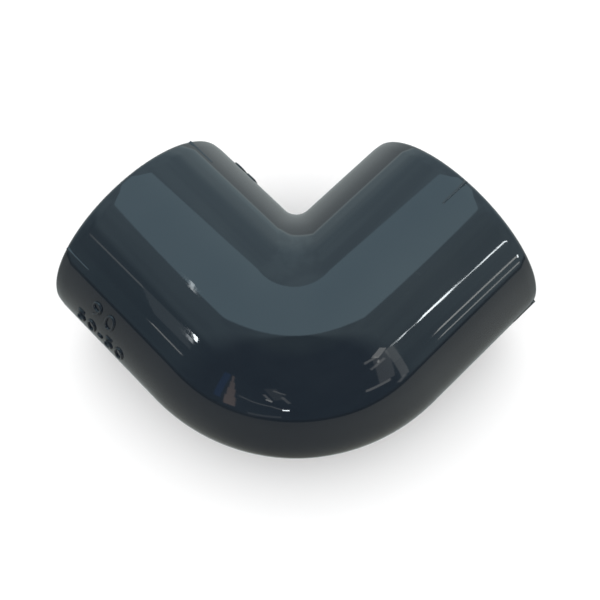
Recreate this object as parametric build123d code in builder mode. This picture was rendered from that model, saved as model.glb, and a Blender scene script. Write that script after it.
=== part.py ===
from build123d import *

import os
from math import cos, radians, sin, sqrt

# Solvent-weld 90 degree elbow for 50 mm pressure pipe, injection moulded in one piece.
#
# Millimetres, +Z up. The elbow lies flat: both socket axes are level and square to each other, one
# along +X and one along +Y. The origin is the middle of the underside, ribs left out of account.

# ---- Driving dimensions ---------------------------------------------------------------------
pipe_od = 50.0                # outside diameter of the pipe that is cemented in
socket_clearance = 0.1        # radial gap between the dry pipe and the socket
socket_wall = 3.5             # thickness of the socket
socket_depth = 31.0           # mouth to pipe stop
laying_length = 27.0          # crossing of the two axes to pipe stop
stop_width = 2.8              # how far the pipe stop stands in from the socket

heel_radius = 49.4            # outside of the bend, in the plane of the axes
crotch_radius = 4.0           # inside of the bend, in the plane of the axes
bend_fullness = 1.8           # 1 lets the radius grow evenly from crotch to heel; more keeps the
                              # bend tight for longer, with fuller shoulders above and below
bend_stations = 7             # sections that the outside of the bend is drawn through
section_points = 12           # points that each section is drawn through
joining_tolerance = 0.02      # between the drawn end sections and the round legs
waterway_crotch_radius = 1.0  # inside of the bend on the waterway, where two straight cores met

rim_radius = 1.2              # rounded outer edge of each mouth
lead_in = 1.0                 # chamfer that guides the pipe into the socket
stop_chamfer = 0.6            # broken edge between pipe stop and waterway

mark_length = 8.0             # alignment ribs on the outside of each socket
mark_width = 0.55
mark_height = 0.4             # at the mouth end
mark_end_height = 0.15        # at the inner end
mark_root = 0.6               # how deep a rib is rooted in the wall
x_mark_angles = (0, -90)      # degrees from the top of the socket, positive towards the other leg
y_mark_angles = (45, -45)

# ---- Sizes that follow ----------------------------------------------------------------------
socket_radius = pipe_od / 2 + socket_clearance
leg_radius = socket_radius + socket_wall
leg_length = laying_length + socket_depth
waterway_radius = socket_radius - stop_width
waterway_bend_radius = waterway_radius + waterway_crotch_radius
half_span = (leg_length - leg_radius) / 2

crossing = Vector(-half_span, -half_span, leg_radius)
up = Vector(0, 0, 1)
x_axis = Vector(1, 0, 0)
y_axis = Vector(0, 1, 0)


def bend_section(turn):
    """Upright plane across the bend after a turn in degrees, through the heel and crotch arcs."""
    outward = Vector(-sin(radians(turn)), -cos(radians(turn)))
    heel = Vector(1, 1) * (heel_radius - leg_radius) + outward * heel_radius
    crotch = Vector(1, 1) * (crotch_radius + leg_radius) + outward * crotch_radius
    across = (heel - crotch).normalized()
    return Plane(origin=crossing + crotch, x_dir=across, z_dir=across.cross(up))


def bend_point(section, around):
    """Where a section meets the fibre of the outside at an angle around from the crotch side.

    Every fibre runs straight along one leg, on an arc tangent to both, and straight along the
    other.
    """
    side = leg_radius * cos(radians(around))
    share = (1 - cos(radians(around))) / 2
    radius = crotch_radius + (heel_radius - crotch_radius) * share**bend_fullness
    centre = side + radius
    start = section.origin - crossing
    across = section.x_dir

    # how far across the section a straight part of the fibre lies ...
    for along, aside in (("X", "Y"), ("Y", "X")):
        if abs(getattr(across, aside)) > 1e-9:
            reach = (side - getattr(start, aside)) / getattr(across, aside)
            if getattr(start, along) + reach * getattr(across, along) >= centre:
                break
    else:
        # ... or the arc between them
        offset = Vector(start.X - centre, start.Y - centre)
        half = offset.dot(across)
        reach = sqrt(half**2 - offset.dot(offset) + radius**2) - half
    return section.origin + across * reach + up * leg_radius * sin(radians(around))


def straight_leg(axis, turn, bend_side):
    """Solid leg with the rounded rim of its mouth, cut off where the bend begins."""
    with BuildPart() as leg:
        with BuildSketch(Plane(origin=crossing, x_dir=up, z_dir=axis)):
            Circle(leg_radius)
        extrude(amount=leg_length)
        rim = leg.edges().filter_by(GeomType.CIRCLE).sort_by(Axis(crossing, axis))[-1]
        fillet(rim, rim_radius)
        split(bisect_by=bend_section(turn), keep=bend_side)
    return leg.part


def alignment_rib(axis, towards_other_leg, angle):
    """Fine rib along the outside of a socket, to be lined up with a mark on the pipe."""
    outward = up * cos(radians(angle)) + towards_other_leg * sin(radians(angle))
    start = leg_length - rim_radius / 2
    end = start - mark_length
    with BuildPart() as rib:
        with BuildSketch(Plane(origin=crossing, x_dir=axis, z_dir=axis.cross(outward))):
            with BuildLine():
                Polyline(
                    (start, leg_radius - mark_root),
                    (start, leg_radius + mark_height),
                    (end, leg_radius + mark_end_height),
                    (end, leg_radius - mark_root),
                    close=True,
                )
            make_face()
        extrude(amount=mark_width / 2, both=True)
    return rib.part


x_leg = straight_leg(x_axis, 0, Keep.BOTTOM)
y_leg = straight_leg(y_axis, 90, Keep.TOP)
ribs = [alignment_rib(x_axis, y_axis, angle) for angle in x_mark_angles]
ribs += [alignment_rib(y_axis, x_axis, angle) for angle in y_mark_angles]

# ---- Waterway: a round bend from mouth to mouth ---------------------------------------------
with BuildPart() as waterway:
    with BuildLine():
        FilletPolyline(
            crossing + x_axis * leg_length,
            crossing,
            crossing + y_axis * leg_length,
            radius=waterway_bend_radius,
        )
    with BuildSketch(Plane(origin=crossing + x_axis * leg_length, x_dir=up, z_dir=x_axis)):
        Circle(waterway_radius)
    sweep()

# ---- Bend of the outside, between the straight legs -----------------------------------------
with BuildPart() as bend:
    for station in range(bend_stations):
        section = bend_section(90 * station / (bend_stations - 1))
        shares = [point / section_points for point in range(section_points)]
        outline = [section.to_local_coords(bend_point(section, 360 * share)) for share in shares]
        with BuildSketch(section):
            with BuildLine():
                add(Edge.make_spline(outline, periodic=True, parameters=[*shares, 1.0]))
            make_face()
    loft()

# ---- Elbow ----------------------------------------------------------------------------------
with BuildPart() as elbow_body:
    add(bend.part.fuse(x_leg, y_leg, tol=joining_tolerance))
    add(waterway.part, mode=Mode.SUBTRACT)

    # sockets: broken stop edge, pipe stop, bore and lead-in, turned about the axis of each leg
    for axis in (x_axis, y_axis):
        with BuildSketch(Plane(origin=crossing, x_dir=axis, z_dir=axis.cross(up))):
            with BuildLine():
                Polyline(
                    (laying_length - stop_chamfer - waterway_radius, 0),
                    (laying_length, waterway_radius + stop_chamfer),
                    (laying_length, socket_radius),
                    (leg_length - lead_in, socket_radius),
                    (leg_length + lead_in, socket_radius + 2 * lead_in),
                    (leg_length + lead_in, 0),
                    close=True,
                )
            make_face()
        revolve(axis=Axis(crossing, axis), mode=Mode.SUBTRACT)

    add(ribs)

elbow_body.part.label = "elbow_body"
os.makedirs("parts", exist_ok=True)
export_step(elbow_body.part, "parts/elbow_body.step")
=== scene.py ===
import bmesh
import bpy
from math import cos, pi, radians, sin
from mathutils import Matrix, Vector


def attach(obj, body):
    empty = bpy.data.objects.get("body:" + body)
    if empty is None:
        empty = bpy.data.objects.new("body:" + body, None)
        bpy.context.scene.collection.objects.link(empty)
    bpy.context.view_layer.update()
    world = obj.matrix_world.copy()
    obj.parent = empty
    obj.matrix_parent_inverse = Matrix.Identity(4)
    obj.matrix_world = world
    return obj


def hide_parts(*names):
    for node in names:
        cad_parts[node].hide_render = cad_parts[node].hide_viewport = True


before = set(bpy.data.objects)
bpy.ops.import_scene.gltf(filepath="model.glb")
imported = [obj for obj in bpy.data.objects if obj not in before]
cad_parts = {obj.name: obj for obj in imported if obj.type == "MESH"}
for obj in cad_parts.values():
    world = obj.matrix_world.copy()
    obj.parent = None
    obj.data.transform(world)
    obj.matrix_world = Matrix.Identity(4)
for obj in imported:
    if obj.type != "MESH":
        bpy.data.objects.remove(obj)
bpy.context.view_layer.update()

bl_info = {
    "name": "Pipe elbow",
    "version": (1, 0, 0),
    "blender": (4, 5, 0),
    "location": "3D View > Sidebar > Elbow",
    "description": "Builds a moulded right-angle pipe elbow with its marks, finish and studio",
    "category": "Add Mesh",
}

MM = 0.001
ELBOW_NODE = "elbow_body"
SHARP_EDGE = radians(40)
DIAGONAL = 0.7071  # cosine of 45 degrees
SAME_PLACE = 1e-7  # metres between two points that count as one
LAMP_DISTANCE = 4.0  # metres from the elbow to each small lamp
FACETS_AROUND = 192  # round each leg and the bend


# ---- Small helpers ------------------------------------------------------------------------------
class Graph:
    """Adds nodes to a node tree and links them."""

    def __init__(self, tree):
        self.tree = tree

    def feed(self, socket, value):
        if isinstance(value, bpy.types.NodeSocket):
            self.tree.links.new(value, socket)
        elif value is not None:
            socket.default_value = value

    def add(self, kind, inputs=None, **settings):
        node = self.tree.nodes.new(kind)
        for name, value in settings.items():
            setattr(node, name, value)
        for name, value in (inputs or {}).items():
            self.feed(node.inputs[name], value)
        return node

    def math(self, operation, *values, clamp=False):
        kind = "ShaderNodeMath"
        node = self.add(kind, dict(enumerate(values)), operation=operation, use_clamp=clamp)
        return node.outputs[0]

    def vector(self, x=0.0, y=0.0, z=0.0):
        return self.add("ShaderNodeCombineXYZ", {"X": x, "Y": y, "Z": z}).outputs[0]

    def split(self, vector):
        node = self.add("ShaderNodeSeparateXYZ", {0: vector})
        return node.outputs["X"], node.outputs["Y"], node.outputs["Z"]

    def noise(self, where, scale, detail=2.0, roughness=0.5, distortion=0.0):
        inputs = {
            "Vector": where,
            "Scale": scale,
            "Detail": detail,
            "Roughness": roughness,
            "Distortion": distortion,
        }
        return self.add("ShaderNodeTexNoise", inputs).outputs["Fac"]

    def span(self, value, low, high, to_low=0.0, to_high=1.0):
        inputs = {"Value": value, 1: low, 2: high, 3: to_low, 4: to_high}
        node = self.add("ShaderNodeMapRange", inputs, interpolation_type="SMOOTHSTEP")
        return node.outputs["Result"]

    def blend(self, factor, first, second, mode="MIX"):
        node = self.add("ShaderNodeMix", data_type="RGBA", blend_type=mode)
        self.feed(node.inputs[0], factor)
        self.feed(node.inputs[6], first)
        self.feed(node.inputs[7], second)
        return node.outputs[2]


def new_tree(name, kind, inputs, outputs):
    """Node tree with (name, socket type, default) inputs and (name, socket type) outputs."""
    tree = bpy.data.node_groups.new(name, kind)
    for title, socket_type, default in inputs:
        socket = tree.interface.new_socket(title, in_out="INPUT", socket_type=socket_type)
        if default is not None:
            socket.default_value = default
    for title, socket_type in outputs:
        tree.interface.new_socket(title, in_out="OUTPUT", socket_type=socket_type)
    graph = Graph(tree)
    source = graph.add("NodeGroupInput")
    sink = graph.add("NodeGroupOutput")
    return tree, graph, source.outputs, sink.inputs


def run_tree(name, tree, values):
    """Plain mesh object made by a geometry tree with named input values."""
    maker = bpy.data.objects.new(name + "_maker", bpy.data.meshes.new(name + "_maker"))
    bpy.context.scene.collection.objects.link(maker)
    modifier = maker.modifiers.new("Make", "NODES")
    modifier.node_group = tree
    for item in tree.interface.items_tree:
        if item.item_type == "SOCKET" and item.in_out == "INPUT" and item.name in values:
            modifier[item.identifier] = values[item.name]
    evaluated = maker.evaluated_get(bpy.context.evaluated_depsgraph_get())
    mesh = bpy.data.meshes.new_from_object(evaluated)
    mesh.name = name
    maker.modifiers.remove(modifier)
    bpy.data.objects.remove(maker)
    if not mesh.polygons:
        raise RuntimeError(f"{name}: the tree made no faces")
    mesh.materials.clear()
    mesh.materials.append(values["Material"])
    mesh.polygons.foreach_set("material_index", [0] * len(mesh.polygons))
    return place_mesh(name, mesh)


def place_mesh(name, mesh):
    piece = bpy.data.objects.new(name, mesh)
    bpy.context.scene.collection.objects.link(piece)
    return piece


def close_skin(mesh):
    """Merges doubles and turns every face outwards."""
    skin = bmesh.new()
    skin.from_mesh(mesh)
    bmesh.ops.remove_doubles(skin, verts=skin.verts, dist=SAME_PLACE)
    bmesh.ops.recalc_face_normals(skin, faces=skin.faces)
    if skin.calc_volume(signed=True) < 0:
        bmesh.ops.reverse_faces(skin, faces=skin.faces)
    skin.to_mesh(mesh)
    skin.free()


# ---- Sizes and colours that a user would change -------------------------------------------------
def length(name, description, millimetres):
    return bpy.props.FloatProperty(
        name=name, description=description, default=millimetres * MM, unit="LENGTH", precision=5
    )


def colour(name, description, value):
    return bpy.props.FloatVectorProperty(
        name=name, description=description, default=value, size=len(value), subtype="COLOR",
        min=0.0, max=10.0,
    )


class ElbowSizes(bpy.types.PropertyGroup):
    """Sizes of the elbow's wall."""

    leg_radius: length("Leg radius", "Outside radius of each socket", 28.6)
    leg_length: length("Leg length", "Crossing of the two axes to each mouth", 58.0)
    heel_radius: length("Heel radius", "Outside of the bend, in the plane of the axes", 49.4)
    crotch_radius: length("Crotch radius", "Inside of the bend, in the plane of the axes", 4.0)
    fullness: bpy.props.FloatProperty(
        name="Bend fullness", description="More than 1 gives the bend fuller shoulders",
        default=1.8, min=0.5, max=4.0,
    )
    rim_radius: length("Rim radius", "Rounded outer edge of each mouth", 1.2)
    crown_length: length("Crown length", "Where the wall starts to fall towards each mouth", 3.5)
    crown_radius: length("Crown radius", "Radius by which the wall starts to fall", 14.0)
    crown_slope: bpy.props.FloatProperty(
        name="Crown slope", description="How steeply the wall falls at the rim", default=0.10,
        min=0.0, max=0.5,
    )
    lead_in: length("Lead-in", "Chamfer at the mouth of the bore", 1.0)
    socket_radius: length("Socket radius", "Radius of the bore that takes the pipe", 25.1)
    laying_length: length("Laying length", "Crossing of the axes to each pipe stop", 27.0)
    waterway_radius: length("Waterway radius", "Radius of the passage behind the stops", 22.3)
    waterway_bend: length("Waterway bend", "Bend radius of the passage", 23.3)
    stop_chamfer: length("Stop chamfer", "Broken inner edge of each pipe stop", 0.6)
    edge_radius: length("Edge radius", "Rounding of the edges inside the mouths", 0.2)


class MarkSizes(bpy.types.PropertyGroup):
    """Sizes of the raised marks on the outside."""

    rib_length: length("Rib length", "Length of each alignment rib", 8.0)
    rib_width: length("Rib width", "Width of the flat crest of each alignment rib", 0.2)
    rib_height: length("Rib height", "Height of a rib at the mouth end", 0.22)
    rib_end_height: length("Rib end height", "Height of a rib at its inner end", 0.15)
    rib_edge: length("Rib edge", "Rounding of a rib's edges", 0.06)
    root: length("Root", "How deep ribs and numbers are rooted in the wall", 0.5)
    number_height: length("Number height", "Height of the raised numbers", 5.2)
    number_relief: length("Number relief", "How far the numbers stand proud", 0.45)


class PlasticFinish(bpy.types.PropertyGroup):
    """Colour and gloss of the plastic."""

    body: colour("Body", "Colour of the plastic", (0.0075, 0.0105, 0.0158, 1.0))
    scuffed: colour("Scuffed", "Colour where the surface is rubbed", (0.034, 0.041, 0.046, 1.0))
    roughness: bpy.props.FloatProperty(
        name="Roughness", description="Roughness of the clean moulded skin", default=0.04,
        min=0.0, max=1.0, subtype="FACTOR",
    )


class StudioSettings(bpy.types.PropertyGroup):
    """Floor, even light and camera."""

    floor: colour("Floor", "Colour of the floor", (0.93, 0.93, 0.93, 1.0))
    floor_reach: length("Floor reach", "Middle of the floor to its sides", 6000.0)
    surroundings: colour("Surroundings", "Colour round the stage", (0.99, 0.99, 0.99, 1.0))
    panel_height: length("Panel height", "Height of the overhead soft box", 3000.0)
    panel_width: length("Panel width", "Side of the overhead soft box", 4800.0)
    panel_brightness: bpy.props.FloatProperty(
        name="Panel brightness", description="Brightness of the overhead soft box", default=0.9,
        min=0.0,
    )
    lens: bpy.props.FloatProperty(
        name="Lens", description="Focal length of the camera in millimetres", default=68.03,
        min=1.0,
    )


class RoomColours(bpy.types.PropertyGroup):
    """Colours of the room that shows in the gloss."""

    far_low: colour("Far wall, low", "Wall beyond the crotch, at eye level", (1.0, 1.28, 1.36, 1))
    far_high: colour("Far wall, high", "The same wall, higher up", (0.72, 0.98, 1.08, 1))
    left_low: colour("Left wall, low", "Wall beside the leg along Y", (0.23, 0.34, 0.37, 1))
    left_high: colour("Left wall, high", "The same wall, higher up", (0.46, 0.64, 0.70, 1))
    right: colour("Right wall", "Wall beside the leg along X", (0.54, 0.72, 0.76, 1))
    near_low: colour("Near wall", "Wall beyond the heel", (0.10, 0.155, 0.19, 1))
    near_high: colour("Near ceiling", "Ceiling on the heel side", (0.20, 0.29, 0.30, 1))
    shade: colour("Mottle, dark", "Darkest multiple of the mottle", (0.55, 0.55, 0.58, 1))
    shine: colour("Mottle, light", "Lightest multiple of the mottle", (1.3, 1.3, 1.3, 1))
    sky_left: colour("Skylight, left", "Skylight over the leg along Y", (1.12, 1.62, 1.86, 1))
    sky_right: colour("Skylight, right", "Skylight over the leg along X", (1.28, 1.80, 2.02, 1))
    table_near: colour("Table, near", "Table on the heel side", (1.0, 1.03, 0.93, 1))
    table_far: colour("Table, far", "Table on the crotch side", (0.94, 1.04, 1.04, 1))
    edge: colour("Table edge", "Dark strip over the table's near edge", (0.05, 0.06, 0.04, 1))
    glint: colour("Glint", "Bright line along the table's far edge", (1.35, 1.60, 1.62, 1))


def crossing():
    """Where the two socket axes cross."""
    sizes = bpy.context.scene.elbow_sizes
    shift = (sizes.leg_length - sizes.leg_radius) / 2
    return Vector((-shift, -shift, sizes.leg_radius))


# ---- Geometry trees -----------------------------------------------------------------------------
def fibre(g, inward, crotch, heel, fullness, section_radius):
    """Bend radius of the fibre whose inward share is given, and its centre from both axes."""
    share = g.math("MULTIPLY", g.math("SUBTRACT", 1.0, inward), 0.5)
    rise = g.math("POWER", g.math("MAXIMUM", share, 0.0), fullness)
    radius = g.math("MULTIPLY_ADD", rise, g.math("SUBTRACT", heel, crotch), crotch)
    return radius, g.math("MULTIPLY_ADD", section_radius, inward, radius)


def bend_tree():
    """Skin of a right-angle bend whose fibres are arcs tangent to both legs.

    The bend radius of a fibre grows from crotch to heel. A fullness of 1 lets it grow evenly.
    """
    tree, g, i, o = new_tree(
        "Bend skin",
        "GeometryNodeTree",
        [
            ("Crotch", "NodeSocketFloat", 0.004),
            ("Heel", "NodeSocketFloat", 0.0494),
            ("Fullness", "NodeSocketFloat", 1.8),
            ("Radius", "NodeSocketFloat", 0.0286),
            ("Steps", "NodeSocketInt", 96),
            ("Around", "NodeSocketInt", FACETS_AROUND),
        ],
        [("Skin", "NodeSocketGeometry")],
    )
    grid = g.add(
        "GeometryNodeMeshGrid",
        {
            "Size X": 1.0,
            "Size Y": 1.0,
            "Vertices X": g.math("ADD", i["Steps"], 1.0),
            "Vertices Y": g.math("ADD", i["Around"], 1.0),
        },
    )
    x, y, _ = g.split(g.add("GeometryNodeInputPosition").outputs[0])
    turn = g.math("MULTIPLY", g.math("ADD", x, 0.5), pi / 2)
    angle = g.math("MULTIPLY", g.math("ADD", y, 0.5), 2 * pi)
    radius, centre = fibre(g, g.math("COSINE", angle), i["Crotch"], i["Heel"], i["Fullness"],
                           i["Radius"])
    place = g.vector(
        g.math("SUBTRACT", centre, g.math("MULTIPLY", radius, g.math("SINE", turn))),
        g.math("SUBTRACT", centre, g.math("MULTIPLY", radius, g.math("COSINE", turn))),
        g.math("MULTIPLY", i["Radius"], g.math("SINE", angle)),
    )
    moved = g.add("GeometryNodeSetPosition", {"Geometry": grid.outputs["Mesh"], "Position": place})
    g.feed(o["Skin"], moved.outputs[0])
    return tree


def elbow_tree():
    """Whole wall of the elbow: bend, turned sockets with rounded rims, and waterway."""
    names = (
        "Leg Radius", "Leg Length", "Heel Radius", "Crotch Radius", "Rim Radius", "Lead In",
        "Socket Radius", "Laying Length", "Waterway Radius", "Waterway Bend", "Stop Chamfer",
        "Crown Length", "Crown Radius", "Crown Slope",
    )
    tree, g, i, o = new_tree(
        "Elbow wall",
        "GeometryNodeTree",
        [(name, "NodeSocketFloat", 0.01) for name in names]
        + [
            ("Fullness", "NodeSocketFloat", 1.8),
            ("Edge Radius", "NodeSocketFloat", 0.0002),
            ("Around", "NodeSocketInt", FACETS_AROUND),
            ("Material", "NodeSocketMaterial", None),
        ],
        [("Elbow", "NodeSocketGeometry")],
    )
    # bend of the outside and bend of the waterway, from the same rule
    skins = []
    bend = bend_tree()
    for values in (
        {"Crotch": i["Crotch Radius"], "Heel": i["Heel Radius"], "Fullness": i["Fullness"],
         "Radius": i["Leg Radius"], "Steps": 96},
        {"Crotch": g.math("SUBTRACT", i["Waterway Bend"], i["Waterway Radius"]),
         "Heel": g.math("ADD", i["Waterway Bend"], i["Waterway Radius"]), "Fullness": 1.0,
         "Radius": i["Waterway Radius"], "Steps": 48},
    ):
        node = g.add("GeometryNodeGroup", node_tree=bend)
        for name, value in values.items():
            g.feed(node.inputs[name], value)
        g.feed(node.inputs["Around"], i["Around"])
        skins.append(node.outputs[0])

    # half section of one leg, as distance from the crossing and radius, with the radius that each
    # corner is rounded by; a row without a radius only holds the surface straight next to a corner,
    # and the first two are counted from where each fibre of the bend ends
    mouth = i["Leg Length"]
    stop = i["Laying Length"]
    edge = i["Edge Radius"]
    hold = 0.0005
    open_end = g.math("SUBTRACT", stop, i["Stop Chamfer"])
    bore_start = g.math("SUBTRACT", mouth, i["Lead In"])
    # the crown's corner, and how far the wall has fallen from there to the mouth
    reach = g.math("MULTIPLY", i["Crown Radius"], g.math("MULTIPLY", i["Crown Slope"], 0.5))
    crown = g.math("SUBTRACT", i["Crown Length"], reach)
    mouth_radius = g.math("SUBTRACT", i["Leg Radius"], g.math("MULTIPLY", crown, i["Crown Slope"]))
    corners = [
        (0.0, i["Leg Radius"], 0.0),
        (hold, i["Leg Radius"], 0.0),
        (g.math("SUBTRACT", g.math("SUBTRACT", mouth, i["Crown Length"]), hold), i["Leg Radius"],
         0.0),
        (g.math("SUBTRACT", mouth, crown), i["Leg Radius"], i["Crown Radius"]),
        (mouth, mouth_radius, i["Rim Radius"]),
        (mouth, g.math("ADD", i["Socket Radius"], i["Lead In"]), edge),
        (bore_start, i["Socket Radius"], edge),
        (g.math("SUBTRACT", bore_start, hold), i["Socket Radius"], 0.0),
        (g.math("ADD", stop, hold), i["Socket Radius"], 0.0),
        (stop, i["Socket Radius"], edge),
        (stop, g.math("ADD", i["Waterway Radius"], i["Stop Chamfer"]), edge),
        (open_end, i["Waterway Radius"], edge),
        (g.math("SUBTRACT", open_end, hold), i["Waterway Radius"], 0.0),
        (i["Waterway Bend"], i["Waterway Radius"], 0.0),
    ]
    index = g.add("GeometryNodeInputIndex").outputs[0]
    where = g.add("GeometryNodeIndexSwitch", {"Index": index}, data_type="VECTOR")
    round_by = g.add("GeometryNodeIndexSwitch", {"Index": index}, data_type="FLOAT")
    for node in (where, round_by):
        while len(node.index_switch_items) < len(corners):
            node.index_switch_items.new()
    for number, (distance, radius, rounding) in enumerate(corners):
        g.feed(where.inputs[str(number)], g.vector(distance, radius))
        g.feed(round_by.inputs[str(number)], rounding)
    points = g.add("GeometryNodePoints", {"Count": len(corners), "Position": where.outputs[0]})
    section = g.add("GeometryNodePointsToCurves", {"Points": points.outputs[0]})
    section = g.add(
        "GeometryNodeFilletCurve",
        {"Curve": section.outputs[0], "Count": 10, "Radius": round_by.outputs[0]},
        mode="POLY",
    )
    count = g.add("GeometryNodeAttributeDomainSize", {0: section.outputs[0]}, component="CURVE")
    count = count.outputs["Point Count"]

    # the section turned about the leg's axis; its first row meets the bend's oblique edge
    grid = g.add(
        "GeometryNodeMeshGrid",
        {
            "Size X": 1.0,
            "Size Y": 1.0,
            "Vertices X": count,
            "Vertices Y": g.math("ADD", i["Around"], 1.0),
        },
    )
    x, y, _ = g.split(g.add("GeometryNodeInputPosition").outputs[0])
    row = g.math("ROUND", g.math("MULTIPLY", g.math("ADD", x, 0.5), g.math("SUBTRACT", count, 1.0)))
    angle = g.math("MULTIPLY", g.math("ADD", y, 0.5), 2 * pi)
    inward = g.math("COSINE", angle)
    sample = g.add("GeometryNodeSampleIndex", data_type="FLOAT_VECTOR", domain="POINT")
    g.feed(sample.inputs["Geometry"], section.outputs[0])
    g.feed(sample.inputs["Value"], g.add("GeometryNodeInputPosition").outputs[0])
    g.feed(sample.inputs["Index"], row)
    distance, radius, _ = g.split(sample.outputs[0])
    _, centre = fibre(g, inward, i["Crotch Radius"], i["Heel Radius"], i["Fullness"],
                      i["Leg Radius"])
    distance = g.math("MULTIPLY_ADD", g.math("LESS_THAN", row, 1.5), centre, distance)
    across = g.math("MULTIPLY", radius, inward)
    height = g.math("MULTIPLY", radius, g.math("SINE", angle))
    for place in (g.vector(distance, across, height), g.vector(across, distance, height)):
        leg = g.add("GeometryNodeSetPosition", {"Geometry": grid.outputs["Mesh"], "Position": place})
        skins.append(leg.outputs[0])

    joined = g.add("GeometryNodeJoinGeometry")
    for skin in skins:
        g.feed(joined.inputs[0], skin)
    merged = g.add("GeometryNodeMergeByDistance", {"Geometry": joined.outputs[0], "Distance": 2e-6})
    lift = g.math("MULTIPLY", g.math("SUBTRACT", i["Leg Length"], i["Leg Radius"]), -0.5)
    placed = g.add("GeometryNodeTransform", {"Geometry": merged.outputs[0]})
    g.feed(placed.inputs["Translation"], g.vector(lift, lift, i["Leg Radius"]))
    smooth = g.add("GeometryNodeSetShadeSmooth", {"Geometry": placed.outputs[0]})
    whole = g.add("GeometryNodeRealizeInstances", {"Geometry": smooth.outputs[0]})
    done = g.add("GeometryNodeSetMaterial", {"Geometry": whole.outputs[0]})
    g.feed(done.inputs["Material"], i["Material"])
    g.feed(o["Elbow"], done.outputs[0])
    return tree


# angle from the top of the socket in degrees, positive towards the other leg, and leg X or Y
RIBS = ((0, "X"), (-90, "X"), (45, "Y"), (-45, "Y"))


def rib_tree():
    """Tapered alignment ribs, one on a point for each place round the sockets."""
    names = ("Leg Radius", "Leg Length", "Start", "Length", "Width", "Height", "End Height", "Root")
    tree, g, i, o = new_tree(
        "Alignment ribs",
        "GeometryNodeTree",
        [(name, "NodeSocketFloat", 0.01) for name in names]
        + [("Material", "NodeSocketMaterial", None)],
        [("Ribs", "NodeSocketGeometry")],
    )
    # one rib beside the axis: x runs out of the mouth, z away from the axis
    block = g.add("GeometryNodeMeshCube", {"Size": (1, 1, 1), "Vertices X": 9, "Vertices Y": 3})
    x, y, z = g.split(g.add("GeometryNodeInputPosition").outputs[0])
    along = g.math("ADD", x, 0.5)
    top = g.math("MULTIPLY_ADD", along, g.math("SUBTRACT", i["Height"], i["End Height"]),
                 i["End Height"])
    is_top = g.math("GREATER_THAN", z, 0.0)
    level = g.math("SUBTRACT", g.math("MULTIPLY", is_top, g.math("ADD", top, i["Root"])),
                   i["Root"])
    near = g.math("SUBTRACT", g.math("SUBTRACT", i["Leg Length"], i["Start"]), i["Length"])
    # flanks fall away from the crest at 45 degrees
    flank = g.math("MULTIPLY", g.math("SUBTRACT", 1.0, is_top), g.math("ADD", top, i["Root"]))
    place = g.vector(
        g.math("MULTIPLY_ADD", along, i["Length"], near),
        g.math("MULTIPLY", y, g.math("MULTIPLY_ADD", flank, 2.0, i["Width"])),
        g.math("ADD", i["Leg Radius"], level),
    )
    rib = g.add("GeometryNodeSetPosition", {"Geometry": block.outputs["Mesh"], "Position": place})

    shift = g.math("MULTIPLY", g.math("SUBTRACT", i["Leg Length"], i["Leg Radius"]), -0.5)
    centre = g.vector(shift, shift, i["Leg Radius"])
    points = g.add("GeometryNodePoints", {"Count": len(RIBS), "Position": centre})
    index = g.add("GeometryNodeInputIndex").outputs[0]
    turns = g.add("GeometryNodeIndexSwitch", {"Index": index}, data_type="VECTOR")
    while len(turns.index_switch_items) < len(RIBS):
        turns.index_switch_items.new()
    for number, (angle, leg) in enumerate(RIBS):
        turn = (-radians(angle), 0, 0) if leg == "X" else (radians(angle), 0, pi / 2)
        turns.inputs[str(number)].default_value = turn
    rotation = g.add("FunctionNodeEulerToRotation", {0: turns.outputs[0]})
    placed = g.add(
        "GeometryNodeInstanceOnPoints",
        {"Points": points.outputs[0], "Instance": rib.outputs[0], "Rotation": rotation.outputs[0]},
    )
    whole = g.add("GeometryNodeRealizeInstances", {"Geometry": placed.outputs[0]})
    done = g.add("GeometryNodeSetMaterial", {"Geometry": whole.outputs[0]})
    g.feed(done.inputs["Material"], i["Material"])
    g.feed(o["Ribs"], done.outputs[0])
    return tree


# ---- Finish -------------------------------------------------------------------------------------
def skin_group():
    """Height of the faint orange peel and flow lines that moulding leaves."""
    name = "Moulded skin"
    if name in bpy.data.node_groups:
        return bpy.data.node_groups[name]
    tree, g, i, o = new_tree(
        name,
        "ShaderNodeTree",
        [("Peel Size", "NodeSocketFloat", 0.0016), ("Peel", "NodeSocketFloat", 1.0),
         ("Ripple", "NodeSocketFloat", 1.0)],
        [("Height", "NodeSocketFloat")],
    )
    where = g.add("ShaderNodeTexCoord").outputs["Object"]
    scale = g.math("DIVIDE", 1.0, i["Peel Size"])
    peel = g.math("MULTIPLY", g.noise(where, scale, 1.0), i["Peel"])
    ripple = g.math("MULTIPLY", g.noise(where, 90.0, 1.0), i["Ripple"])
    g.feed(o["Height"], g.math("ADD", peel, ripple))
    return tree


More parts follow.
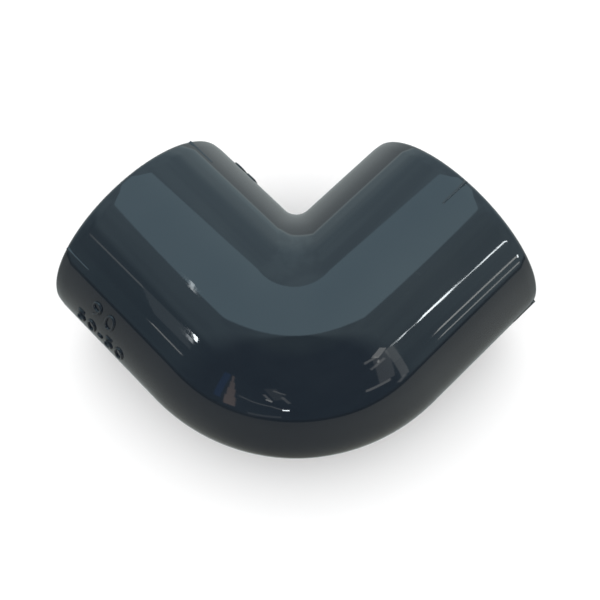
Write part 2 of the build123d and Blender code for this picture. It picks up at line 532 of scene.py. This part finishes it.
def scuff_group():
    """Mask of fine handling scratches and rubbed patches."""
    name = "Handling scuffs"
    if name in bpy.data.node_groups:
        return bpy.data.node_groups[name]
    tree, g, i, o = new_tree(
        name,
        "ShaderNodeTree",
        [("Amount", "NodeSocketFloat", 0.5)],
        [("Scratches", "NodeSocketFloat"), ("Rub", "NodeSocketFloat")],
    )
    where = g.add("ShaderNodeTexCoord").outputs["Object"]
    layers = []
    for turn, stretch in (((0.3, 0.2, 0.8), 26.0), ((1.1, 0.5, 2.0), 34.0)):
        inputs = {"Vector": where, "Rotation": turn, "Scale": (900.0, stretch, 900.0)}
        mapped = g.add("ShaderNodeMapping", inputs).outputs[0]
        layers.append(g.span(g.noise(mapped, 1.0, 1.0, distortion=0.3), 0.74, 0.80))
    patches = g.span(g.noise(where, 60.0, 3.0), 0.52, 0.70)
    scratches = g.math("MULTIPLY", g.math("MAXIMUM", *layers), patches)
    g.feed(o["Scratches"], g.math("MULTIPLY", scratches, i["Amount"]))
    rub = g.math("MULTIPLY", g.span(g.noise(where, 140.0, 4.0, 0.65), 0.58, 0.78), patches)
    g.feed(o["Rub"], g.math("MULTIPLY", rub, i["Amount"]))
    return tree


def plastic(name, ripple=1.0, scuffs=0.5, duller=0.0):
    """Dark blue-grey moulded plastic, glossy, with faint peel, scratches and dust."""
    if name in bpy.data.materials:
        return bpy.data.materials[name]
    finish = bpy.context.scene.elbow_finish
    material = bpy.data.materials.new(name)
    material.use_nodes = True
    material.node_tree.nodes.clear()
    g = Graph(material.node_tree)
    where = g.add("ShaderNodeTexCoord").outputs["Object"]
    skin = g.add("ShaderNodeGroup", node_tree=skin_group())
    g.feed(skin.inputs["Peel"], 0.3)
    g.feed(skin.inputs["Ripple"], ripple)
    scuff = g.add("ShaderNodeGroup", node_tree=scuff_group())
    g.feed(scuff.inputs["Amount"], scuffs)

    cloud = g.noise(where, 45.0, 3.0)
    tone = g.blend(g.span(cloud, 0.3, 0.7, 0.0, 0.08), tuple(finish.body), tuple(finish.scuffed))
    dust = g.span(g.noise(where, 1900.0, 2.0, 0.7), 0.70, 0.80, 0.0, 0.12)
    marks = g.math("ADD", g.math("MULTIPLY", scuff.outputs["Scratches"], 0.6), dust, clamp=True)
    tone = g.blend(marks, tone, tuple(finish.scuffed))

    rough = g.math("MULTIPLY_ADD", scuff.outputs["Rub"], 0.10, finish.roughness + duller)
    rough = g.math("MULTIPLY_ADD", scuff.outputs["Scratches"], 0.25, rough)
    rough = g.math("ADD", rough, g.span(cloud, 0.3, 0.7, -0.015, 0.02))

    relief = g.add(
        "ShaderNodeBump",
        {"Strength": 0.10, "Distance": 0.00005, "Height": skin.outputs["Height"]},
    )
    scratched = g.add(
        "ShaderNodeBump",
        {"Strength": 0.08, "Distance": 0.00001, "Height": scuff.outputs["Scratches"],
         "Normal": relief.outputs[0]},
        invert=True,
    )
    shader = g.add(
        "ShaderNodeBsdfPrincipled",
        {
            "Base Color": tone,
            "Roughness": rough,
            "IOR": 1.53,
            "Normal": scratched.outputs[0],
        },
    )
    output = g.add("ShaderNodeOutputMaterial")
    g.feed(output.inputs["Surface"], shader.outputs[0])
    return material


def marks_plastic():
    """The same plastic on ribs and numbers, a little duller and without flow lines."""
    return plastic("upvc_marks", ripple=0.0, scuffs=0.3, duller=0.04)


# ---- Raised numbers -----------------------------------------------------------------------------
# size of the built-in font against the height of its figures
SIZE_PER_HEIGHT = 1.38
# relief that the figures are first made with, against the thickness they are then stretched to
BEVEL_SHARE = 0.62


def number_mesh(text, height, spacing, thickness):
    """Flat mesh of raised figures with rounded edges, middle at the origin, reading along x."""
    relief = thickness * BEVEL_SHARE
    curve = bpy.data.curves.new("number", "FONT")
    curve.body = text
    curve.align_x = "CENTER"
    curve.align_y = "CENTER"
    curve.size = height * SIZE_PER_HEIGHT
    curve.space_character = spacing
    # the rounded edges take most of the relief, and the outline is drawn in by nearly as much
    curve.extrude = relief * 0.1
    curve.bevel_depth = relief * 0.6
    curve.bevel_resolution = 3
    curve.offset = -relief * 0.55
    curve.resolution_u = 5
    maker = bpy.data.objects.new("number_maker", curve)
    bpy.context.scene.collection.objects.link(maker)
    bpy.context.view_layer.update()
    evaluated = maker.evaluated_get(bpy.context.evaluated_depsgraph_get())
    mesh = bpy.data.meshes.new_from_object(evaluated)
    bpy.data.objects.remove(maker)
    low = Vector([min(v.co[k] for v in mesh.vertices) for k in range(3)])
    high = Vector([max(v.co[k] for v in mesh.vertices) for k in range(3)])
    mesh.transform(Matrix.Translation(-(low + high) / 2))
    return mesh


def wrap_on_leg(mesh, leg, angle, distance, radius):
    """Bends a flat mesh round a socket, middle at an angle from its top and a distance in."""
    sizes = bpy.context.scene.elbow_sizes
    along = Vector((1, 0, 0)) if leg == "X" else Vector((0, 1, 0))
    other = Vector((0, 1, 0)) if leg == "X" else Vector((1, 0, 0))
    centre = crossing() + along * (sizes.leg_length - distance)
    side = 1 if angle > 0 else -1
    for vertex in mesh.vertices:
        x, y, z = vertex.co
        turn = radians(angle) - side * y / radius
        outward = Vector((0, 0, 1)) * cos(turn) + other * sin(turn)
        vertex.co = centre + along * (side * x) + outward * (radius + z)


# ---- Operators ----------------------------------------------------------------------------------
class ELBOW_OT_camera(bpy.types.Operator):
    """Places the camera above the elbow, a little towards the heel"""

    bl_idname = "elbow.camera"
    bl_label = "Camera"

    def execute(self, context):
        azimuth, elevation, roll = radians(-41.796), radians(71.559), radians(2.676)
        ahead, aside, above, distance = 7.627 * MM, 1.604 * MM, 8.908 * MM, 286.67 * MM
        back = Vector((sin(azimuth) * cos(elevation), -cos(azimuth) * cos(elevation),
                       sin(elevation)))
        right = Vector((cos(azimuth), sin(azimuth), 0))
        up = back.cross(right)
        look = crossing() + Vector((ahead, ahead, 0))
        place = look + right * aside + up * above + back * distance
        across = right * cos(roll) - up * sin(roll)
        upright = right * sin(roll) + up * cos(roll)
        data = bpy.data.cameras.new("camera")
        data.sensor_width = 36
        data.lens = context.scene.elbow_studio.lens
        data.clip_start = 0.01
        data.clip_end = 50
        camera = bpy.data.objects.new("camera", data)
        context.scene.collection.objects.link(camera)
        turn = Matrix((across, upright, back)).transposed()
        camera.matrix_world = Matrix.Translation(place) @ turn.to_4x4()
        context.scene.camera = camera
        return {"FINISHED"}


class ELBOW_OT_body(bpy.types.Operator):
    """Builds the wall of the elbow in one closed skin"""

    bl_idname = "elbow.body"
    bl_label = "Elbow wall"

    def execute(self, context):
        s = context.scene.elbow_sizes
        values = {
            "Leg Radius": s.leg_radius,
            "Leg Length": s.leg_length,
            "Heel Radius": s.heel_radius,
            "Crotch Radius": s.crotch_radius,
            "Fullness": s.fullness,
            "Rim Radius": s.rim_radius,
            "Lead In": s.lead_in,
            "Socket Radius": s.socket_radius,
            "Laying Length": s.laying_length,
            "Waterway Radius": s.waterway_radius,
            "Waterway Bend": s.waterway_bend,
            "Stop Chamfer": s.stop_chamfer,
            "Crown Length": s.crown_length,
            "Crown Radius": s.crown_radius,
            "Crown Slope": s.crown_slope,
            "Edge Radius": s.edge_radius,
            "Around": FACETS_AROUND,
            "Material": plastic("upvc_moulded"),
        }
        piece = run_tree("elbow_wall", elbow_tree(), values)
        close_skin(piece.data)
        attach(piece, "root")
        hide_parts(ELBOW_NODE)
        return {"FINISHED"}


class ELBOW_OT_ribs(bpy.types.Operator):
    """Adds the fine alignment ribs at the mouths"""

    bl_idname = "elbow.ribs"
    bl_label = "Alignment ribs"

    def execute(self, context):
        s = context.scene.elbow_sizes
        m = context.scene.elbow_marks
        values = {
            "Leg Radius": s.leg_radius,
            "Leg Length": s.leg_length,
            "Start": s.rim_radius / 2,
            "Length": m.rib_length,
            "Width": m.rib_width,
            "Height": m.rib_height,
            "End Height": m.rib_end_height,
            "Root": m.root,
            "Material": marks_plastic(),
        }
        piece = run_tree("alignment_ribs", rib_tree(), values)
        skin = bmesh.new()
        skin.from_mesh(piece.data)
        bmesh.ops.recalc_face_normals(skin, faces=skin.faces)
        corners = [edge for edge in skin.edges if edge.calc_face_angle(0) > SHARP_EDGE]
        bmesh.ops.bevel(skin, geom=corners, offset=m.rib_edge, segments=3, profile=0.5,
                        affect="EDGES")
        skin.to_mesh(piece.data)
        skin.free()
        piece.data.shade_smooth()
        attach(piece, "root")
        return {"FINISHED"}


# name, text, leg, angle from the top in degrees, distance of its middle from the mouth in mm,
# size against the number height, and spacing
NUMBERS = (
    ("raised_sizes", "50-50", "Y", -76.5, 17.8, 1.0, 1.06),
    ("raised_angle", "90", "Y", -60.5, 17.6, 1.05, 1.25),
    ("raised_inner_size", "50", "Y", 82.0, 11.0, 1.32, 0.97),
)


class ELBOW_OT_numbers(bpy.types.Operator):
    """Adds the plain raised numbers: pipe sizes and angle"""

    bl_idname = "elbow.numbers"
    bl_label = "Raised numbers"

    def execute(self, context):
        s = context.scene.elbow_sizes
        m = context.scene.elbow_marks
        material = marks_plastic()
        for name, text, leg, angle, distance, size, spacing in NUMBERS:
            thickness = m.number_relief + m.root
            mesh = number_mesh(text, m.number_height * size, spacing, thickness)
            low = min(v.co.z for v in mesh.vertices)
            high = max(v.co.z for v in mesh.vertices)
            for vertex in mesh.vertices:
                part = (vertex.co.z - low) / (high - low)
                vertex.co.z = part * thickness - m.root
            mesh.name = name
            wrap_on_leg(mesh, leg, angle, distance * MM, s.leg_radius)
            close_skin(mesh)
            mesh.materials.clear()
            mesh.materials.append(material)
            piece = place_mesh(name, mesh)
            piece.data.shade_smooth()
            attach(piece, "root")
        return {"FINISHED"}


def from_map(x, y):
    """Direction whose stereographic map about the zenith is (x, y)."""
    return Vector((2 * x, 2 * y, 1 - x * x - y * y)).normalized()


def area_lamp(name, place, axes, size_x, size_y, strength, tint):
    """Rectangular soft lamp with its axes given. Strength is its brightness as seen."""
    data = bpy.data.lights.new(name, "AREA")
    data.shape = "RECTANGLE"
    data.size = size_x
    data.size_y = size_y
    data.color = tint
    data.energy = strength * size_x * size_y * pi
    lamp = bpy.data.objects.new(name, data)
    bpy.context.scene.collection.objects.link(lamp)
    turn = Matrix(axes).transposed()
    lamp.matrix_world = Matrix.Translation(place) @ turn.to_4x4()
    return lamp


def strip_lamp(name, start, end, width, strength, tint):
    """Strip between two points of the map above the elbow. Its width is an angle."""
    first, last = from_map(*start), from_map(*end)
    way = (first + last).normalized()
    along = (last - first).normalized()
    across = way.cross(along)
    lamp = area_lamp(name, crossing() + way * LAMP_DISTANCE, (along, across, way),
                     (last - first).length * LAMP_DISTANCE, width * LAMP_DISTANCE, strength, tint)
    lamp.visible_diffuse = False
    return lamp


DAY = (0.90, 0.97, 1.0)
GREY = (1.0, 1.0, 0.96)
WARM = (1.0, 0.72, 0.58)
BLUE = (0.04, 0.25, 1.0)
# name, ends on the map (x, y), width in radians, brightness and tint
STRIPS = (
    # row of lamps beyond the leg along X, seen as one broken streak down that leg
    ("streak_outer", (0.310, -0.550), (0.232, -0.528), 0.018, 22.0, DAY),
    ("streak_thin", (0.232, -0.528), (0.208, -0.521), 0.010, 14.0, DAY),
    ("streak_inner", (0.208, -0.521), (0.180, -0.513), 0.028, 26.0, DAY),
    ("streak_gap", (0.180, -0.514), (0.169, -0.513), 0.008, 6.0, DAY),
    ("streak_end", (0.169, -0.513), (0.162, -0.512), 0.020, 15.0, DAY),
    ("streak_tail", (0.160, -0.510), (0.150, -0.500), 0.018, 2.5, DAY),
    ("rail_upper", (0.400, -0.796), (0.234, -0.786), 0.026, 4.0, GREY),
    ("rail_spot", (0.440, -0.800), (0.395, -0.796), 0.045, 18.0, DAY),
    ("rail_lower", (0.420, -0.898), (0.263, -0.900), 0.022, 3.0, GREY),
    # window with its bars at the end of that leg
    ("window_right", (0.132, -0.500), (0.148, -0.705), 0.075, 0.80, GREY),
    ("window_right_low", (0.148, -0.705), (0.160, -0.990), 0.075, 0.70, GREY),
    ("window_sill", (0.160, -0.985), (0.088, -1.044), 0.05, 0.70, GREY),
    ("window_top", (0.115, -0.465), (0.050, -0.500), 0.09, 2.1, GREY),
    ("window_spot", (0.056, -0.545), (0.048, -0.572), 0.018, 3.0, GREY),
    ("window_glow", (0.080, -0.500), (0.020, -0.870), 0.15, 0.45, GREY),
    ("window_bar_1", (0.060, -0.500), (-0.010, -0.488), 0.040, 1.2, GREY),
    ("window_bar_2", (0.090, -0.570), (-0.012, -0.594), 0.040, 1.0, GREY),
    ("window_bar_3", (0.045, -0.890), (-0.150, -0.842), 0.050, 1.2, GREY),
    # small lamps beside the leg along Y
    ("left_spot", (-0.448, 0.172), (-0.490, 0.174), 0.006, 40.0, DAY),
    ("left_soft", (-0.498, 0.181), (-0.535, 0.184), 0.008, 5.0, DAY),
    ("left_haze", (-0.470, 0.200), (-0.610, 0.208), 0.055, 0.30, DAY),
    ("left_fleck", (-0.122, 0.164), (-0.171, 0.164), 0.005, 9.0, DAY),
    ("left_line", (-0.474, 0.264), (-0.476, 0.218), 0.026, 0.9, GREY),
    ("left_rail", (-0.724, 0.252), (-0.740, 0.220), 0.020, 2.4, GREY),
    # people, papers and lamps beyond the heel
    ("heel_spot", (-0.688, -0.626), (-0.724, -0.588), 0.022, 24.0, DAY),
    ("heel_dash", (-0.657, -0.385), (-0.654, -0.436), 0.022, 2.6, GREY),
    ("heel_line_1", (-0.780, -0.237), (-0.774, -0.369), 0.016, 0.8, GREY),
    ("heel_line_2", (-0.774, -0.369), (-0.730, -0.488), 0.016, 0.9, GREY),
    ("heel_line_3", (-0.730, -0.488), (-0.715, -0.586), 0.020, 0.9, GREY),
    ("heel_low_line", (-1.045, -0.451), (-0.860, -0.690), 0.045, 0.30, GREY),
    ("heel_glow", (-0.500, -0.300), (-0.585, -0.450), 0.11, 0.22, GREY),
    ("heel_paper_1", (-0.601, -0.329), (-0.651, -0.425), 0.026, 1.0, GREY),
    ("heel_paper_2", (-0.507, -0.329), (-0.496, -0.415), 0.024, 0.9, GREY),
    ("heel_paper_3", (-0.540, -0.425), (-0.584, -0.533), 0.030, 0.7, GREY),
    ("heel_wedge_1", (-0.561, -0.093), (-0.640, -0.124), 0.022, 0.8, WARM),
    ("heel_wedge_2", (-0.640, -0.124), (-0.730, -0.160), 0.044, 0.85, WARM),
    ("heel_wedge_3", (-0.730, -0.160), (-0.860, -0.205), 0.070, 0.9, WARM),
    ("heel_wedge_4", (-0.860, -0.205), (-1.045, -0.268), 0.098, 0.9, WARM),
    ("heel_blue", (-0.560, -0.060), (-1.000, -0.135), 0.060, 0.35, BLUE),
)


def add_floor(studio):
    """Floor that is seen and lights the elbow from below, but is kept out of its gloss."""
    sheet = bpy.data.meshes.new("floor")
    half = studio.floor_reach
    sheet.from_pydata([(-half, -half, 0), (half, -half, 0), (half, half, 0), (-half, half, 0)],
                      [], [(0, 1, 2, 3)])
    floor = place_mesh("floor", sheet)
    paint = bpy.data.materials.new("floor_paint")
    paint.use_nodes = True
    shader = paint.node_tree.nodes["Principled BSDF"]
    shader.inputs["Base Color"].default_value = tuple(studio.floor)
    shader.inputs["Roughness"].default_value = 0.9
    shader.inputs["Specular IOR Level"].default_value = 0.1
    sheet.materials.append(paint)
    floor.visible_glossy = False


def add_lights(studio):
    """Even white light from overhead, kept out of the gloss, and the lamps that show in it."""
    axes = (Vector((1, 0, 0)), Vector((0, 1, 0)), Vector((0, 0, 1)))
    place = crossing() + Vector((0, 0, studio.panel_height))
    softbox = area_lamp("softbox", place, axes, studio.panel_width, studio.panel_width,
                        studio.panel_brightness, (1.0, 1.0, 1.0))
    softbox.visible_glossy = False
    for strip in STRIPS:
        strip_lamp(*strip)


def walls(g, way, z, away, aside, room):
    """Walls and ceiling, from pale beyond the crotch round to dark beyond the heel."""
    far = g.blend(g.span(z, 0.1, 0.35), tuple(room.far_low), tuple(room.far_high))
    far = g.blend(1.0, far, g.span(aside, -0.5, -0.1, 0.88, 1.0), "MULTIPLY")
    left = g.blend(g.span(z, 0.62, 0.72), tuple(room.left_low), tuple(room.left_high))
    side = g.blend(g.span(aside, -0.4, 0.4), left, tuple(room.right))
    near = g.blend(g.span(z, 0.90, 0.99), tuple(room.near_low), tuple(room.near_high))
    tone = g.blend(g.span(away, -0.70, -0.33), near, side)
    tone = g.blend(g.span(away, -0.25, 0.45), tone, far)
    mottle = g.span(g.noise(way, 5.0, 3.0), 0.35, 0.65)
    mottle = g.blend(mottle, tuple(room.shade), tuple(room.shine))
    return g.blend(0.2, tone, mottle, "MULTIPLY")


def skylight(g, tone, z, ahead, across, room):
    """Blue skylight over the crotch, its near edge at the zenith, with rounded corners."""
    height = g.math("MAXIMUM", z, 0.05)
    across = g.math("DIVIDE", across, height)
    ahead = g.math("DIVIDE", ahead, height)
    half_width, half_depth, middle, corner, blur = 0.50, 0.46, 0.44, 0.12, 0.012
    outside = []
    for offset, half in ((across, half_width), (g.math("SUBTRACT", ahead, middle), half_depth)):
        past = g.math("SUBTRACT", g.math("ABSOLUTE", offset), half - corner)
        past = g.math("MAXIMUM", past, 0.0)
        outside.append(g.math("MULTIPLY", past, past))
    off = g.math("SQRT", g.math("ADD", *outside))
    pane = g.blend(g.span(across, -0.2, 0.5), tuple(room.sky_left), tuple(room.sky_right))
    return g.blend(g.span(off, corner - blur, corner + blur), pane, tone)


def table(g, upper, z, away, aside, room):
    """Table below the walls, brighter beyond the crotch and darker close to the elbow."""
    level = g.math("MULTIPLY_ADD", away, 0.27, 0.585)
    level = g.math("MULTIPLY_ADD", aside, 0.11, level)
    # painted shade: the table in the gloss darkens steeply below the elbow, standing in for the
    # elbow's contact shadow on it
    level = g.math("MULTIPLY", level, g.span(z, -0.95, -0.35, 0.48, 1.0))
    low_left = g.math("MULTIPLY", g.span(z, -0.85, -0.45, 0.45, 0.0),
                      g.span(aside, -0.9, -0.3, 1.0, 0.0))
    level = g.math("MULTIPLY", level, g.math("ADD", low_left, 1.0))
    tint = g.blend(g.span(away, -0.9, 0.8), tuple(room.table_near), tuple(room.table_far))
    top = g.blend(1.0, tint, level, "MULTIPLY")

    # height over the table's edge, which lies lower beyond the heel and on one side of the crotch
    near_edge = g.span(away, -0.95, -0.40, 0.215, 0.10)
    far_edge = g.span(aside, 0.0, 0.5, 0.035, 0.15)
    drop = g.math("MULTIPLY", g.math("SUBTRACT", far_edge, 0.10), g.span(away, 0.1, 0.5))
    rise = g.math("ADD", z, g.math("ADD", near_edge, drop))
    above = g.span(rise, -0.012, 0.012)
    tone = g.blend(above, top, upper)

    # dark strip over the edge beyond the heel, and a glint along the edge beyond the crotch
    strip = g.math("MULTIPLY", above, g.span(rise, 0.02, 0.09, 1.0, 0.0))
    strip = g.math("MULTIPLY", strip, g.span(away, -0.2, 0.2, 0.9, 0.0))
    tone = g.blend(strip, tone, tuple(room.edge))
    glint = g.math("MULTIPLY", g.span(rise, -0.035, 0.0), g.span(rise, 0.0, 0.035, 1.0, 0.0))
    glint = g.math("MULTIPLY", glint, g.span(away, 0.2, 0.6))
    return g.blend(glint, tone, tuple(room.glint))


def add_room(scene):
    """World with the room in the gloss, and even pale surroundings for everything else."""
    world = bpy.data.worlds.new("room")
    scene.world = world
    world.use_nodes = True
    world.node_tree.nodes.clear()
    g = Graph(world.node_tree)
    way = g.add("ShaderNodeTexCoord").outputs["Generated"]
    x, y, z = g.split(way)
    flat = g.math("SQRT", g.math("ADD", g.math("MULTIPLY", x, x), g.math("MULTIPLY", y, y)))
    flat = g.math("MAXIMUM", flat, 0.001)
    ahead = g.math("MULTIPLY", g.math("ADD", x, y), DIAGONAL)
    across = g.math("MULTIPLY", g.math("SUBTRACT", x, y), DIAGONAL)
    # away is 1 straight beyond the crotch and -1 beyond the heel; aside is 1 beside the leg
    # along X and -1 beside the leg along Y; z is 0 at eye level and 1 overhead
    away = g.math("DIVIDE", ahead, flat)
    aside = g.math("DIVIDE", across, flat)

    room = scene.elbow_room
    tone = walls(g, way, z, away, aside, room)
    tone = skylight(g, tone, z, ahead, across, room)
    tone = table(g, tone, z, away, aside, room)
    kind = g.add("ShaderNodeLightPath")
    plain = tuple(scene.elbow_studio.surroundings)
    tone = g.blend(kind.outputs["Is Glossy Ray"], plain, tone)
    shade = g.add("ShaderNodeBackground", {"Color": tone, "Strength": 1.0})
    output = g.add("ShaderNodeOutputWorld")
    g.feed(output.inputs["Surface"], shade.outputs[0])


class ELBOW_OT_stage(bpy.types.Operator):
    """Adds the pale floor, the soft lights and the dim room round them"""

    bl_idname = "elbow.stage"
    bl_label = "Floor and lights"

    def execute(self, context):
        scene = context.scene
        scene.view_settings.view_transform = "Standard"
        add_floor(scene.elbow_studio)
        add_lights(scene.elbow_studio)
        add_room(scene)
        return {"FINISHED"}


class ELBOW_PT_panel(bpy.types.Panel):
    """Lists the pieces of the elbow"""

    bl_idname = "ELBOW_PT_panel"
    bl_label = "Pipe elbow"
    bl_space_type = "VIEW_3D"
    bl_region_type = "UI"
    bl_category = "Elbow"

    def draw(self, context):
        for operator in PIECES:
            self.layout.operator(operator.bl_idname)
        for name in SETTINGS:
            group = getattr(context.scene, name)
            box = self.layout.box()
            for key in group.__annotations__:
                box.prop(group, key)


PIECES = (ELBOW_OT_camera, ELBOW_OT_body, ELBOW_OT_ribs, ELBOW_OT_numbers, ELBOW_OT_stage)
SETTINGS = {
    "elbow_sizes": ElbowSizes,
    "elbow_marks": MarkSizes,
    "elbow_finish": PlasticFinish,
    "elbow_studio": StudioSettings,
    "elbow_room": RoomColours,
}
CLASSES = (*SETTINGS.values(), *PIECES, ELBOW_PT_panel)


def register():
    for cls in CLASSES:
        bpy.utils.register_class(cls)
    for name, group in SETTINGS.items():
        setattr(bpy.types.Scene, name, bpy.props.PointerProperty(type=group))


def unregister():
    for name in SETTINGS:
        delattr(bpy.types.Scene, name)
    for cls in reversed(CLASSES):
        bpy.utils.unregister_class(cls)


def main():
    register()
    bpy.ops.elbow.camera()
    bpy.ops.elbow.body()
    bpy.ops.elbow.ribs()
    bpy.ops.elbow.numbers()
    bpy.ops.elbow.stage()
    bpy.context.view_layer.update()


if __name__ == "__main__":
    main()
